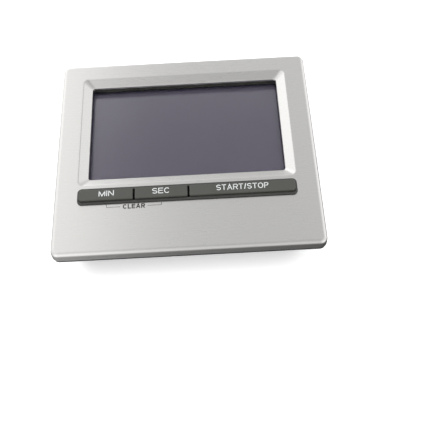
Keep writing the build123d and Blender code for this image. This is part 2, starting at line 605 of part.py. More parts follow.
with BuildPart() as rear_case:
    with BuildSketch():
        RectangleRounded(BACK_WIDTH, BACK_HEIGHT, BACK_CORNER)
    with BuildSketch(Plane.XY.offset(BAND_Z)):
        RectangleRounded(BAND_WIDTH, BAND_HEIGHT, BAND_CORNER)
    loft()
    fillet(rear_case.faces().sort_by(Axis.Z)[0].edges(), BACK_EDGE)
    with BuildSketch(Plane.XY.offset(BAND_Z)):
        RectangleRounded(BAND_WIDTH, BAND_HEIGHT, BAND_CORNER)
    extrude(amount=BAND_TOP_Z - BAND_Z)
    with BuildSketch(Plane.XY.offset(BAND_TOP_Z)):
        RectangleRounded(RIM_WIDTH, RIM_HEIGHT, HOUSING_CORNER)
    extrude(amount=RIM_TOP_Z - BAND_TOP_Z)
    with BuildSketch(Plane.XY.offset(FLOOR)):
        RectangleRounded(*shell_size(FLOOR, SIDE_INSET), BACK_CORNER - INNER_CORNER_STEP)
    with BuildSketch(Plane.XY.offset(BAND_Z)):
        RectangleRounded(*shell_size(BAND_Z, SIDE_INSET), BAND_CORNER - INNER_CORNER_STEP)
    loft(mode=Mode.SUBTRACT)
    with BuildSketch(Plane.XY.offset(BAND_Z)):
        RectangleRounded(*shell_size(BAND_Z, SIDE_INSET), BAND_CORNER - INNER_CORNER_STEP)
    extrude(amount=RIM_TOP_Z - BAND_Z, mode=Mode.SUBTRACT)
    # raised blocks inside the floor: stand recess, magnet bosses, buzzer ring, screw bosses
    with BuildSketch(Plane.XY.offset(FLOOR)):
        with Locations((0, RECESS_Y)):
            Rectangle(2 * (RECESS_HALF + RECESS_WALL), RECESS_LENGTH + 2 * RECESS_ROOF)
    extrude(amount=RECESS_TOP_Z + RECESS_ROOF - FLOOR)
    with BuildSketch(Plane.XY.offset(FLOOR)):
        with Locations(*MAGNETS):
            Circle(MAGNET_RADIUS + MAGNET_BOSS)
    extrude(amount=MAGNET_BOSS_Z - FLOOR)
    with BuildSketch(Plane.XY.offset(FLOOR)):
        with Locations((0, BUZZER_Y)):
            Circle(BUZZER_RADIUS + RING_WALL)
            Circle(BUZZER_RADIUS - RING_LEDGE, mode=Mode.SUBTRACT)
    extrude(amount=BUZZER_Z - FLOOR)
    with BuildSketch(Plane.XY.offset(BUZZER_Z)):
        with Locations((0, BUZZER_Y)):
            Circle(BUZZER_RADIUS + RING_WALL)
            Circle(BUZZER_RADIUS + RING_CLEARANCE, mode=Mode.SUBTRACT)
    extrude(amount=RING_RISE)
    with BuildSketch(Plane.XY.offset(FLOOR)):
        with Locations(*CASE_SCREWS):
            Circle(CASE_BOSS_RADIUS)
    extrude(amount=CASE_BOSS_TOP_Z - FLOOR)
    # battery bay: a half-round roof over a straight inner wall
    with BuildSketch(Plane.YZ.offset(BAY_X_MIN - BAY_END)):
        with Locations((CELL_Y, CELL_Z)):
            Circle(BAY_RADIUS + BAY_WALL)
        with Locations((CELL_Y + (BAY_RADIUS + BAY_WALL) / 2, (FLOOR + CELL_Z) / 2)):
            Rectangle(BAY_RADIUS + BAY_WALL, CELL_Z - FLOOR)
    extrude(amount=BAY_X_MAX - BAY_X_MIN + 2 * BAY_END)
    with BuildSketch(Plane.YZ.offset(BAY_X_MIN)):
        with Locations((CELL_Y, CELL_Z)):
            Circle(BAY_RADIUS)
        with Locations((CELL_Y + BAY_RADIUS / 2, (FLOOR + CELL_Z) / 2)):
            Rectangle(BAY_RADIUS, CELL_Z - FLOOR)
    extrude(amount=BAY_X_MAX - BAY_X_MIN, mode=Mode.SUBTRACT)
    # opening for the battery door, through the floor and up the sloping side
    with BuildSketch(Plane.YZ.offset(-DOOR_HALF)):
        with BuildLine():
            Polyline(
                (DOOR_Y, BELOW_BACK_Z),
                (DOOR_Y, FLOOR),
                (CELL_Y, FLOOR),
                (CELL_Y, DOOR_TOP_Z),
                (-FACE_HEIGHT / 2, DOOR_TOP_Z),
                (-FACE_HEIGHT / 2, BELOW_BACK_Z),
                close=True,
            )
        make_face()
    extrude(amount=2 * DOOR_HALF, mode=Mode.SUBTRACT)
    # grooves for the door's side tongues, open at the lower edge of the case
    with BuildSketch(Plane.XY.offset(GROOVE_Z)):
        with Locations((0, (GROOVE_STOP_Y - FACE_HEIGHT / 2) / 2)):
            Rectangle(2 * (DOOR_HALF + GROOVE_DEPTH), FACE_HEIGHT / 2 + GROOVE_STOP_Y)
    extrude(amount=GROOVE_HEIGHT, mode=Mode.SUBTRACT)
    # stand recess with its pin holes
    with BuildSketch():
        with Locations((0, RECESS_Y)):
            Rectangle(2 * RECESS_HALF, RECESS_LENGTH)
    extrude(amount=RECESS_TOP_Z, mode=Mode.SUBTRACT)
    with BuildSketch(Plane.YZ.offset(-(STAND_HALF + PIN_LENGTH + PIN_END_GAP))):
        with Locations((STAND_AXIS_Y, STAND_AXIS_Z)):
            Circle(PIN_RADIUS + PIN_CLEARANCE)
    extrude(amount=2 * (STAND_HALF + PIN_LENGTH + PIN_END_GAP), mode=Mode.SUBTRACT)
    # magnet pockets, sound holes and screw bores
    with BuildSketch():
        with Locations(*MAGNETS):
            Circle(MAGNET_RADIUS + MAGNET_POCKET)
    extrude(amount=MAGNET_THICKNESS + MAGNET_POCKET, mode=Mode.SUBTRACT)
    with BuildSketch():
        with Locations((0, BUZZER_Y)):
            Circle(SPEAKER_HOLE)
            with PolarLocations(SOUND_HOLE_CIRCLE, 6):
                Circle(SPEAKER_HOLE)
    extrude(amount=FLOOR, mode=Mode.SUBTRACT)
    with BuildSketch():
        with Locations(*CASE_SCREWS):
            Circle(SCREW_HEAD_BORE)
    extrude(amount=SCREW_HEAD_DEPTH, mode=Mode.SUBTRACT)
    with BuildSketch():
        with Locations(*CASE_SCREWS):
            Circle(SCREW_HOLE)
    extrude(amount=CASE_BOSS_TOP_Z, mode=Mode.SUBTRACT)
    # holes in the bay's end walls for the contact tails
    with BuildSketch(Plane.YZ.offset(BAY_X_MIN - BAY_END)):
        with Locations((TAIL_Y, TAIL_Z)):
            Rectangle(TAIL_HOLE_WIDTH, TAIL_HOLE_HEIGHT)
    extrude(amount=BAY_END, mode=Mode.SUBTRACT)
    with BuildSketch(Plane.YZ.offset(BAY_X_MAX)):
        with Locations((TAIL_Y, TAIL_Z)):
            Rectangle(TAIL_HOLE_WIDTH, TAIL_HOLE_HEIGHT)
    extrude(amount=BAY_END, mode=Mode.SUBTRACT)
    # two hooks at the top edge that catch in the front housing's wall
    with BuildSketch(Plane.XY.offset(HOOK_Z)):
        with Locations((-HOOK_X, HOOK_ARM_Y), (HOOK_X, HOOK_ARM_Y)):
            Rectangle(HOOK_WIDTH, HOOK_ARM)
    extrude(amount=HOOK_RISE)
    with BuildSketch(Plane.XY.offset(HOOK_WINDOW_Z + HOOK_CATCH_GAP)):
        with Locations((-HOOK_X, HOOK_CATCH_Y), (HOOK_X, HOOK_CATCH_Y)):
            Rectangle(HOOK_WIDTH, HOOK_CATCH)
    extrude(amount=HOOK_WINDOW_HEIGHT - 2 * HOOK_CATCH_GAP)

# ---- battery door: a piece of the case's own shell with a tongue along each side ----
TONGUE_Z = 0.45
TONGUE_THICKNESS = 0.55
TONGUE_Y = -25.2
TONGUE_LENGTH = 7.6
GRIP_Y = -25.5
GRIP_PITCH = 1.3
GRIP_COUNT = 4
GRIP_LENGTH = 14.0
GRIP_WIDTH = 0.6
GRIP_DEPTH = 0.3
with BuildPart() as battery_door:
    with BuildSketch():
        RectangleRounded(BACK_WIDTH, BACK_HEIGHT, BACK_CORNER)
    with BuildSketch(Plane.XY.offset(BAND_Z)):
        RectangleRounded(BAND_WIDTH, BAND_HEIGHT, BAND_CORNER)
    loft()
    fillet(battery_door.faces().sort_by(Axis.Z)[0].edges(), BACK_EDGE)
    with BuildSketch(Plane.XY.offset(DOOR_FLOOR)):
        RectangleRounded(*shell_size(DOOR_FLOOR, DOOR_SIDE_INSET), BACK_CORNER - INNER_CORNER_STEP)
    with BuildSketch(Plane.XY.offset(BAND_Z)):
        RectangleRounded(*shell_size(BAND_Z, DOOR_SIDE_INSET), BAND_CORNER - INNER_CORNER_STEP)
    loft(mode=Mode.SUBTRACT)
    with BuildSketch():
        with Locations((0, (DOOR_Y - DOOR_CLEARANCE - FACE_HEIGHT / 2) / 2)):
            Rectangle(2 * (DOOR_HALF - DOOR_CLEARANCE), FACE_HEIGHT / 2 + DOOR_Y - DOOR_CLEARANCE)
    extrude(amount=DOOR_TOP_Z - DOOR_CLEARANCE, mode=Mode.INTERSECT)
    with BuildSketch(Plane.XY.offset(TONGUE_Z)):
        with Locations((0, TONGUE_Y)):
            Rectangle(2 * (DOOR_HALF - DOOR_CLEARANCE + TONGUE), TONGUE_LENGTH)
    extrude(amount=TONGUE_THICKNESS)
    with BuildSketch():
        with GridLocations(0, GRIP_PITCH, 1, GRIP_COUNT):
            with Locations((0, GRIP_Y)):
                SlotOverall(GRIP_LENGTH, GRIP_WIDTH)
    extrude(amount=GRIP_DEPTH, mode=Mode.SUBTRACT)

# ---- fold-out stand with moulded pins ----
STAND_THICKNESS = STAND_TOP_Z - STAND_Z
STAND_CORNER = 2.5
FINGER_NOTCH = 4.5
with BuildPart() as stand:
    with BuildSketch(Plane.YZ.offset(-STAND_HALF)):
        with Locations((STAND_AXIS_Y, STAND_AXIS_Z)):
            Circle(HEEL_RADIUS)
        with Locations(((STAND_AXIS_Y + STAND_TOP_Y) / 2, (STAND_Z + STAND_TOP_Z) / 2)):
            Rectangle(STAND_TOP_Y - STAND_AXIS_Y, STAND_THICKNESS)
    extrude(amount=2 * STAND_HALF)
    fillet(stand.edges().filter_by(Axis.Z).group_by(Axis.Y)[-1], STAND_CORNER)
    with BuildSketch(Plane.YZ.offset(-(STAND_HALF + PIN_LENGTH))):
        with Locations((STAND_AXIS_Y, STAND_AXIS_Z)):
            Circle(PIN_RADIUS)
    extrude(amount=2 * (STAND_HALF + PIN_LENGTH))
    with BuildSketch(Plane.XY.offset(STAND_Z)):
        with Locations((0, STAND_TOP_Y)):
            Circle(FINGER_NOTCH)
    extrude(amount=STAND_THICKNESS, mode=Mode.SUBTRACT)

# ---- magnets ----
with BuildPart() as magnets:
    with BuildSketch(Plane.XY.offset(SEAM)):
        with Locations(*MAGNETS):
            Circle(MAGNET_RADIUS)
    extrude(amount=MAGNET_THICKNESS)

# ---- case screws: pan heads in the bores ----
CASE_SCREW_HEAD = 1.75
CASE_SCREW_HEAD_Z = 0.8
CASE_SCREW_SHANK = 0.78
CASE_SCREW_TOP_Z = 10.0
CROSS_LENGTH = 2.0
CROSS_WIDTH = 0.45
CROSS_DEPTH = 0.7
with BuildPart() as case_screws:
    with BuildSketch(Plane.XY.offset(CASE_SCREW_HEAD_Z)):
        with Locations(*CASE_SCREWS):
            Circle(CASE_SCREW_HEAD)
    extrude(amount=SCREW_HEAD_DEPTH - CASE_SCREW_HEAD_Z)
    with BuildSketch(Plane.XY.offset(SCREW_HEAD_DEPTH)):
        with Locations(*CASE_SCREWS):
            Circle(CASE_SCREW_SHANK)
    extrude(amount=CASE_SCREW_TOP_Z - SCREW_HEAD_DEPTH)
    with BuildSketch(Plane.XY.offset(CASE_SCREW_HEAD_Z)):
        with Locations(*CASE_SCREWS):
            Rectangle(CROSS_LENGTH, CROSS_WIDTH)
            Rectangle(CROSS_WIDTH, CROSS_LENGTH)
    extrude(amount=CROSS_DEPTH, mode=Mode.SUBTRACT)

# ---- buzzer: a ceramic disc on a brass disc ----
BRASS = 0.2
CERAMIC = 0.2
CERAMIC_RADIUS = 4.5
with BuildPart() as buzzer_brass_disc:
    with BuildSketch(Plane.XY.offset(BUZZER_Z)):
        with Locations((0, BUZZER_Y)):
            Circle(BUZZER_RADIUS)
    extrude(amount=BRASS)

with BuildPart() as buzzer_ceramic_disc:
    with BuildSketch(Plane.XY.offset(BUZZER_Z + BRASS)):
        with Locations((0, BUZZER_Y)):
            Circle(CERAMIC_RADIUS)
    extrude(amount=CERAMIC)

# ---- cell and its contacts ----
CELL_EDGE = 0.5
with BuildPart() as battery_cell:
    with BuildSketch(Plane.YZ.offset(CELL_X)):
        with Locations((CELL_Y, CELL_Z)):
            Circle(CELL_RADIUS)
    extrude(amount=CELL_BODY)
    fillet(battery_cell.edges(), CELL_EDGE)
    with BuildSketch(Plane.YZ.offset(CELL_X + CELL_BODY)):
        with Locations((CELL_Y, CELL_Z)):
            Circle(CELL_NUB_RADIUS)
    extrude(amount=CELL_NUB)

CONTACT_PLATE = 0.3
CONTACT_SIZE = 7.0
CONTACT_CORNER = 1.0
TAIL_WIDTH = 1.2
TAIL_THICKNESS = 0.5
TAIL_OUT = 0.6
NEGATIVE_X = BAY_X_MIN + SEAM
COIL_WIRE = 0.25
COIL_RADIUS = 2.4
COIL_PITCH = 0.85
COIL_HEIGHT = 2.4
COIL_START = (NEGATIVE_X + CONTACT_PLATE + COIL_WIRE / 2, CELL_Y, CELL_Z)
with BuildPart() as negative_contact:
    with BuildSketch(Plane.YZ.offset(NEGATIVE_X)):
        with Locations((CELL_Y, CELL_Z)):
            RectangleRounded(CONTACT_SIZE, CONTACT_SIZE, CONTACT_CORNER)
    extrude(amount=CONTACT_PLATE)
    with BuildSketch(Plane.YZ.offset(BAY_X_MIN - BAY_END - TAIL_OUT)):
        with Locations((TAIL_Y, TAIL_Z)):
            Rectangle(TAIL_WIDTH, TAIL_THICKNESS)
    extrude(amount=NEGATIVE_X - BAY_X_MIN + BAY_END + TAIL_OUT + CONTACT_PLATE)
    with BuildLine() as coil:
        Helix(COIL_PITCH, COIL_HEIGHT, COIL_RADIUS, center=COIL_START, direction=(1, 0, 0))
    with BuildSketch(Plane(origin=coil.line @ 0, z_dir=coil.line % 0)):
        Circle(COIL_WIRE)
    sweep(path=coil.line)

POSITIVE_X = 23.4
POSITIVE_BUMP = 1.5
with BuildPart() as positive_contact:
    with BuildSketch(Plane.YZ.offset(POSITIVE_X)):
        with Locations((CELL_Y, CELL_Z)):
            RectangleRounded(CONTACT_SIZE, CONTACT_SIZE, CONTACT_CORNER)
    extrude(amount=CONTACT_PLATE)
    with BuildSketch(Plane.YZ.offset(CELL_X + CELL_BODY + CELL_NUB + SEAM)):
        with Locations((CELL_Y, CELL_Z)):
            Circle(POSITIVE_BUMP)
    extrude(amount=POSITIVE_X - CELL_X - CELL_BODY - CELL_NUB - SEAM)
    with BuildSketch(Plane.YZ.offset(POSITIVE_X)):
        with Locations((TAIL_Y, TAIL_Z)):
            Rectangle(TAIL_WIDTH, TAIL_THICKNESS)
    extrude(amount=BAY_X_MAX + BAY_END + TAIL_OUT - POSITIVE_X)

# ---- wires: straight runs joined by tangent arcs ----
WIRE_RADIUS = 0.4
WIRE_BEND = 0.8


def make_wire(routes):
    with BuildPart() as wire:
        for route in routes:
            with BuildLine() as path:
                FilletPolyline(*route, radius=WIRE_BEND)
            with BuildSketch(Plane(origin=path.line @ 0, z_dir=path.line % 0)):
                Circle(WIRE_RADIUS)
            sweep(path=path.line)
    return wire


POSITIVE_TAIL = (BAY_X_MAX + BAY_END + TAIL_OUT, TAIL_Y, TAIL_Z)
NEGATIVE_TAIL = (BAY_X_MIN - BAY_END - TAIL_OUT, TAIL_Y, TAIL_Z)
WIRE_ROUTE = [(28.6, -24.1, 9.5), (28.9, -20.8, 9.5), (32.6, -18.6, 9.3), (32.6, -18.6, BOARD_TOP_Z)]
POSITIVE_ROUTE = [POSITIVE_TAIL, *WIRE_ROUTE]
NEGATIVE_ROUTE = [NEGATIVE_TAIL, *[(-x, y, z) for x, y, z in WIRE_ROUTE]]
battery_wire_positive = make_wire([POSITIVE_ROUTE])
battery_wire_negative = make_wire([NEGATIVE_ROUTE])
BUZZER_WIRE_Z = 4.6
BRASS_WIRE_X = -5.3
CERAMIC_WIRE_X = 3.5
BUZZER_PAD = (9.0, 24.0)
BRASS_ROUTE = [
    (BRASS_WIRE_X, BUZZER_Y, BUZZER_Z + BRASS),
    (BRASS_WIRE_X, BUZZER_Y, BUZZER_WIRE_Z),
    (-BUZZER_PAD[0], BUZZER_PAD[1], BUZZER_WIRE_Z),
    (-BUZZER_PAD[0], BUZZER_PAD[1], BOARD_Z),
]
CERAMIC_ROUTE = [
    (CERAMIC_WIRE_X, BUZZER_Y, BUZZER_Z + BRASS + CERAMIC),
    (CERAMIC_WIRE_X, BUZZER_Y, BUZZER_WIRE_Z),
    (*BUZZER_PAD, BUZZER_WIRE_Z),
    (*BUZZER_PAD, BOARD_Z),
]
buzzer_wires = make_wire([BRASS_ROUTE, CERAMIC_ROUTE])

pieces = {
    "face_plate": face_plate,
    "face_adhesive": face_adhesive,
    "front_housing": front_housing,
    "key_min_cap": key_min,
    "key_sec_cap": key_sec,
    "key_start_stop_cap": key_start_stop,
    "keypad_mat": keypad_mat,
    "lens_adhesive": lens_adhesive,
    "display_lens": display_lens,
    "lcd_front_polariser": lcd_front_polariser,
    "lcd_front_glass": lcd_front_glass,
    "lcd_rear_glass": lcd_rear_glass,
    "lcd_reflector": lcd_reflector,
    "lcd_holder": lcd_holder,
    "zebra_connector": zebra_connector,
    "main_board": main_board,
    "board_screws": board_screws,
    "controller_blob": controller_blob,
    "quartz_crystal": quartz_crystal,
    "surface_mount_parts": surface_mount_parts,
    "rear_case": rear_case,
    "battery_door": battery_door,
    "stand": stand,
    "magnets": magnets,
    "case_screws": case_screws,
    "buzzer_brass_disc": buzzer_brass_disc,
    "buzzer_ceramic_disc": buzzer_ceramic_disc,
    "buzzer_wires": buzzer_wires,
    "battery_cell": battery_cell,
    "negative_contact": negative_contact,
    "positive_contact": positive_contact,
    "battery_wire_positive": battery_wire_positive,
    "battery_wire_negative": battery_wire_negative,
    **domes,
    **pills,
}
for name, piece in pieces.items():
    piece.part.label = name
    export_step(piece.part, f"parts/{name}.step")
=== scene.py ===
import json
import math

import bmesh
import bpy
from mathutils import Matrix, Vector


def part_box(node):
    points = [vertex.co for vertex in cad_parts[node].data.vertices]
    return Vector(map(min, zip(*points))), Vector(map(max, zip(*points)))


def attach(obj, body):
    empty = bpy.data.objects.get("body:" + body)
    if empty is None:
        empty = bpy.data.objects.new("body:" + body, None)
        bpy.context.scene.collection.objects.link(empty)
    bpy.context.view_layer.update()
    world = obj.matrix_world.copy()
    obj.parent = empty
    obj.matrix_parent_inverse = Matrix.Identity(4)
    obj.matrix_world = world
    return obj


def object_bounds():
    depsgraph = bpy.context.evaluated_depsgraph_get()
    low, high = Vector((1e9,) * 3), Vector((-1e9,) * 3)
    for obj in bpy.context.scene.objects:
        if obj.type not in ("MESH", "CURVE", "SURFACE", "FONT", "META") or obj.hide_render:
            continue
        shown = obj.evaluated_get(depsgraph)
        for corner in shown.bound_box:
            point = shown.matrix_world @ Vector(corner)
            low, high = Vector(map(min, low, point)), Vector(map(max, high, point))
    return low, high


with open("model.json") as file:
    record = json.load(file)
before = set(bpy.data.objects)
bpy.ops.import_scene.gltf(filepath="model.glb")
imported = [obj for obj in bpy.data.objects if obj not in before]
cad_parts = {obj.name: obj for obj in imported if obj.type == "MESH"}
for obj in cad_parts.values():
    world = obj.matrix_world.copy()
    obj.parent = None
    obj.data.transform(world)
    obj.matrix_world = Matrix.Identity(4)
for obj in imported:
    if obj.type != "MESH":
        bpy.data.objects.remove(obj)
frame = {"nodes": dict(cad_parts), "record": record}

cad_low, cad_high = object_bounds()

# The frame is in metres. Sizes below are named in millimetres and multiplied by MM.
MM = 0.001

# ---- camera: over the lower edge, a little to the right, with a slight roll ----
FACE_CENTRE = Vector((0, 0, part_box("face_plate")[1].z))
CAMERA_FROM_FACE = Vector((9.2, -146.48, 200.48)) * MM
CAMERA_RIGHT = Vector((0.99862, -0.04333, -0.02965))
CAMERA_UP = Vector((0.0524, 0.85697, 0.51269))
CAMERA_LENS = 62.79
CAMERA_SENSOR = 36.0
CAMERA_CLIP = (0.01, 20.0)

# ---- light ----
# The room's brightness from left to right and from front to back. Each pair is that part of a direction, from
# -1 to 1, and the brightness there.
ROOM_ACROSS = ((-1.0, 1.15), (-0.55, 1.2), (-0.21, 1.17), (-0.08, 0.62), (0.15, 0.62), (0.5, 0.98), (1.0, 1.3))
ROOM_DEPTH = ((-1.0, 1.2), (-0.8, 1.2), (-0.15, 0.78), (0.46, 0.93), (0.7, 1.2), (1.0, 1.35))
# What metal mirrors from below the horizon is a darker table, darkest at the right.
TABLE_MIRRORED = ((-1.0, 0.36), (-0.22, 0.34), (0.0, 0.24), (0.14, 0.15), (0.4, 0.08), (1.0, 0.08))
# How far up a direction points where the table begins and ends its fade into the room.
TABLE_FADE = (-0.55, -0.05)
LAMP_SIZE = 1.1
KEY_LAMP_PLACE = (-0.5, 0.4, 0.9)
KEY_LAMP_POWER = 9.0
FILL_LAMP_PLACE = (0.5, -0.1, 0.9)
FILL_LAMP_POWER = 6.0
FLOOR_HALF = 2.0
FLOOR_GLOW = 0.3

# ---- materials: the part of a noise's range that its changes stretch over ----
NOISE_LOW = 0.3
NOISE_HIGH = 0.7

# ---- print on the face and the keys ----
# Stroke weights, bowls and gaps are shares of a capital's height. The arc's step is in degrees.
LEGEND_HEIGHT = 2.05 * MM
LEGEND_LIFT = 0.012 * MM
LEGEND_THICKNESS = 0.012 * MM
LEGEND_Y_OFFSET = 0.3 * MM
LEGEND_WEIGHT = 0.125
CLEAR_WEIGHT = 0.2
# Widths of the capitals as a share of their height.
GLYPH_WIDTHS = {
    "I": 0.16, "M": 1.0, "N": 0.84, "S": 0.8, "E": 0.76, "C": 0.88, "T": 0.78,
    "A": 0.92, "R": 0.82, "O": 0.94, "P": 0.76, "L": 0.68, "/": 0.4,
}
GLYPH_GAP = 0.15
BOWL = 0.27
BOWL_RISE = 0.26
ARC_STEP = 15
MITRE_LIMIT = 0.35
LEGEND_WIDTHS = {"MIN": 4.8 * MM, "SEC": 5.6 * MM, "START/STOP": 16.5 * MM}
MIN_X_OFFSET = 0.2 * MM
CLEAR_WIDTH = 7.0 * MM
CLEAR_HEIGHT = 1.65 * MM
CLEAR_BELOW_COLLAR = 1.25 * MM
COLLAR_HALF_DEPTH = 2.9 * MM
BRACKET_LINE = 0.2 * MM
BRACKET_GAP = 0.8 * MM


def linear(*srgb):
    """sRGB values from 0 to 255 as linear colour."""
    values = [v / 255 for v in srgb]
    return tuple(v / 12.92 if v <= 0.04045 else ((v + 0.055) / 1.055) ** 2.4 for v in values) + (1.0,)


# ---------------------------------------------------------------- materials
class Nodes:
    """A material with a Principled shader, and short ways to add the nodes that feed it."""

    def __init__(self, name, color, roughness, metallic=0.0, **sockets):
        self.material = bpy.data.materials.new(name)
        self.material.use_nodes = True
        self.tree = self.material.node_tree
        self.shader = self.tree.nodes["Principled BSDF"]
        self.shader.inputs["Base Color"].default_value = color
        self.shader.inputs["Roughness"].default_value = roughness
        self.shader.inputs["Metallic"].default_value = metallic
        for socket, value in sockets.items():
            self.shader.inputs[socket.replace("_", " ")].default_value = value
        self.place = self.tree.nodes.new("ShaderNodeTexCoord").outputs["Object"]
        self.color = color

    def link(self, source, target):
        self.tree.links.new(source, target)

    def noise(self, scale, detail=2.0, stretch=(1, 1, 1)):
        mapping = self.tree.nodes.new("ShaderNodeMapping")
        mapping.inputs["Scale"].default_value = [scale * s for s in stretch]
        self.link(self.place, mapping.inputs["Vector"])
        noise = self.tree.nodes.new("ShaderNodeTexNoise")
        noise.inputs["Scale"].default_value = 1.0
        noise.inputs["Detail"].default_value = detail
        self.link(mapping.outputs["Vector"], noise.inputs["Vector"])
        return noise.outputs["Fac"]

    def spread(self, value, low, high):
        scaled = self.tree.nodes.new("ShaderNodeMapRange")
        scaled.inputs["From Min"].default_value = NOISE_LOW
        scaled.inputs["From Max"].default_value = NOISE_HIGH
        scaled.inputs["To Min"].default_value = low
        scaled.inputs["To Max"].default_value = high
        self.link(value, scaled.inputs["Value"])
        return scaled.outputs["Result"]

    def vary_color(self, value, amount):
        """Lightens and darkens the base colour by amount with the value."""
        ramp = self.tree.nodes.new("ShaderNodeValToRGB")
        ramp.color_ramp.elements[0].position = NOISE_LOW
        ramp.color_ramp.elements[1].position = NOISE_HIGH
        ramp.color_ramp.elements[0].color = [c * (1 - amount) for c in self.color[:3]] + [1]
        ramp.color_ramp.elements[1].color = [min(1, c * (1 + amount)) for c in self.color[:3]] + [1]
        self.link(value, ramp.inputs["Fac"])
        self.link(ramp.outputs["Color"], self.shader.inputs["Base Color"])

    def vary_roughness(self, value, low, high):
        self.link(self.spread(value, low, high), self.shader.inputs["Roughness"])

    def bump(self, value, height, strength=1.0):
        bump = self.tree.nodes.new("ShaderNodeBump")
        bump.inputs["Distance"].default_value = height
        bump.inputs["Strength"].default_value = strength
        self.link(value, bump.inputs["Height"])
        self.link(bump.outputs["Normal"], self.shader.inputs["Normal"])


def brushed_aluminium():
    m = Nodes("brushed_aluminium", linear(224, 223, 221), 0.28, 1.0, Anisotropic=0.6)
    tangent = m.tree.nodes.new("ShaderNodeTangent")
    tangent.direction_type = "RADIAL"
    tangent.axis = "X"
    m.link(tangent.outputs["Tangent"], m.shader.inputs["Tangent"])
    along_x = (0.03, 1, 1)
    m.vary_color(m.noise(2600, 2, along_x), 0.008)
    m.vary_roughness(m.noise(3400, 2, along_x), 0.27, 0.29)
    m.bump(m.noise(6500, 2, along_x), 0.0002 * MM, 0.2)
    return m.material


def moulded(name, color, roughness, grain, height, **sockets):
    """Moulded plastic with a fine even grain and a slow change of gloss."""
    m = Nodes(name, color, roughness, **sockets)
    m.vary_color(m.noise(140, 2), 0.05)
    m.vary_roughness(m.noise(90, 2), roughness - 0.05, roughness + 0.06)
    m.bump(m.noise(grain, 2), height, 0.6)
    return m.material


def plated(name, color, roughness, grain=2500):
    """Plated or rolled metal."""
    m = Nodes(name, color, roughness, 1.0)
    m.vary_color(m.noise(300, 3), 0.06)
    m.vary_roughness(m.noise(grain, 2), roughness - 0.06, roughness + 0.08)
    m.bump(m.noise(grain, 3), 0.003 * MM, 0.5)
    return m.material


def clear_lens():
    """Clear acrylic: transparent straight on, with a clean reflection."""
    m = Nodes("clear_acrylic", (0.95, 0.96, 0.97, 1), 0.03)
    fresnel = m.tree.nodes.new("ShaderNodeFresnel")
    fresnel.inputs["IOR"].default_value = 1.45
    clear = m.tree.nodes.new("ShaderNodeBsdfTransparent")
    gloss = m.tree.nodes.new("ShaderNodeBsdfGlossy")
    gloss.inputs["Roughness"].default_value = 0.14
    mixed = m.tree.nodes.new("ShaderNodeMixShader")
    m.link(fresnel.outputs["Fac"], mixed.inputs["Fac"])
    m.link(clear.outputs["BSDF"], mixed.inputs[1])
    m.link(gloss.outputs["BSDF"], mixed.inputs[2])
    m.link(mixed.outputs["Shader"], m.tree.nodes["Material Output"].inputs["Surface"])
    return m.material


def display_film():
    """The blank display: a mauve-grey polariser with a very fine even texture."""
    m = Nodes("polariser", linear(80, 75, 93), 0.32, Specular_IOR_Level=0.3)
    m.vary_color(m.noise(45, 2), 0.02)
    m.bump(m.noise(9000, 2), 0.0003 * MM, 0.3)
    return m.material


def board():
    m = Nodes("board_green", (0.02, 0.11, 0.05, 1), 0.35)
    m.vary_color(m.noise(160, 4), 0.25)
    m.vary_roughness(m.noise(500, 2), 0.28, 0.45)
    m.bump(m.noise(900, 3), 0.01 * MM, 0.5)
    return m.material


def printed(name, color):
    """Screen-printed ink, slightly uneven."""
    m = Nodes(name, color, 0.5)
    m.vary_color(m.noise(2500, 2), 0.04)
    m.bump(m.noise(6000, 2), 0.002 * MM, 0.4)
    return m.material


MATERIALS = {
    "brushed_aluminium": brushed_aluminium(),
    "black_abs": moulded("black_abs", linear(38, 38, 39), 0.5, 5200, 0.012 * MM),
    "housing_grey": moulded("housing_grey", linear(48, 49, 46), 0.5, 5200, 0.01 * MM),
    "key_grey": moulded("key_grey", linear(58, 59, 55), 0.36, 6500, 0.006 * MM),
    "adhesive": moulded("adhesive", linear(45, 45, 45), 0.8, 3000, 0.01 * MM),
    "clear_acrylic": clear_lens(),
    "polariser": display_film(),
    "lcd_glass": moulded("lcd_glass", linear(176, 186, 182), 0.08, 800, 0.0005 * MM, Transmission_Weight=0.7),
    "reflector": plated("reflector", linear(190, 190, 192), 0.25),
    "holder_white": moulded("holder_white", linear(216, 216, 208), 0.5, 4200, 0.008 * MM),
    "silicone": moulded("silicone", linear(168, 168, 162), 0.6, 3500, 0.006 * MM, Subsurface_Weight=0.2),
    "carbon": moulded("carbon", linear(30, 30, 30), 0.75, 4000, 0.006 * MM),
    "zebra_rubber": moulded("zebra_rubber", linear(130, 130, 130), 0.7, 4000, 0.006 * MM),
    "board_green": board(),
    "steel": plated("steel", linear(196, 197, 198), 0.28),
    "resin": moulded("resin", linear(24, 24, 25), 0.2, 900, 0.01 * MM),
    "crystal_can": plated("crystal_can", linear(205, 205, 205), 0.25),
    "chip_ceramic": moulded("chip_ceramic", linear(150, 122, 92), 0.6, 5000, 0.006 * MM),
    "magnet_nickel": plated("magnet_nickel", linear(206, 206, 200), 0.16, 1400),
    "brass_disc": plated("brass_disc", linear(214, 178, 110), 0.3),
    "piezo_ceramic": moulded("piezo_ceramic", linear(226, 224, 214), 0.4, 3500, 0.006 * MM),
    "wire_red": moulded("wire_red", linear(165, 22, 24), 0.35, 2500, 0.004 * MM),
    "wire_black": moulded("wire_black", linear(26, 26, 27), 0.35, 2500, 0.004 * MM),
    "cell_wrap": moulded("cell_wrap", linear(74, 82, 92), 0.25, 700, 0.004 * MM),
}
SLOT_OF_NODE = {part["node"]: part["material_slot"] for part in frame["record"]["subparts"]}

for node, piece in frame["nodes"].items():
    piece.data.materials.clear()
    piece.data.materials.append(MATERIALS[SLOT_OF_NODE[node]])


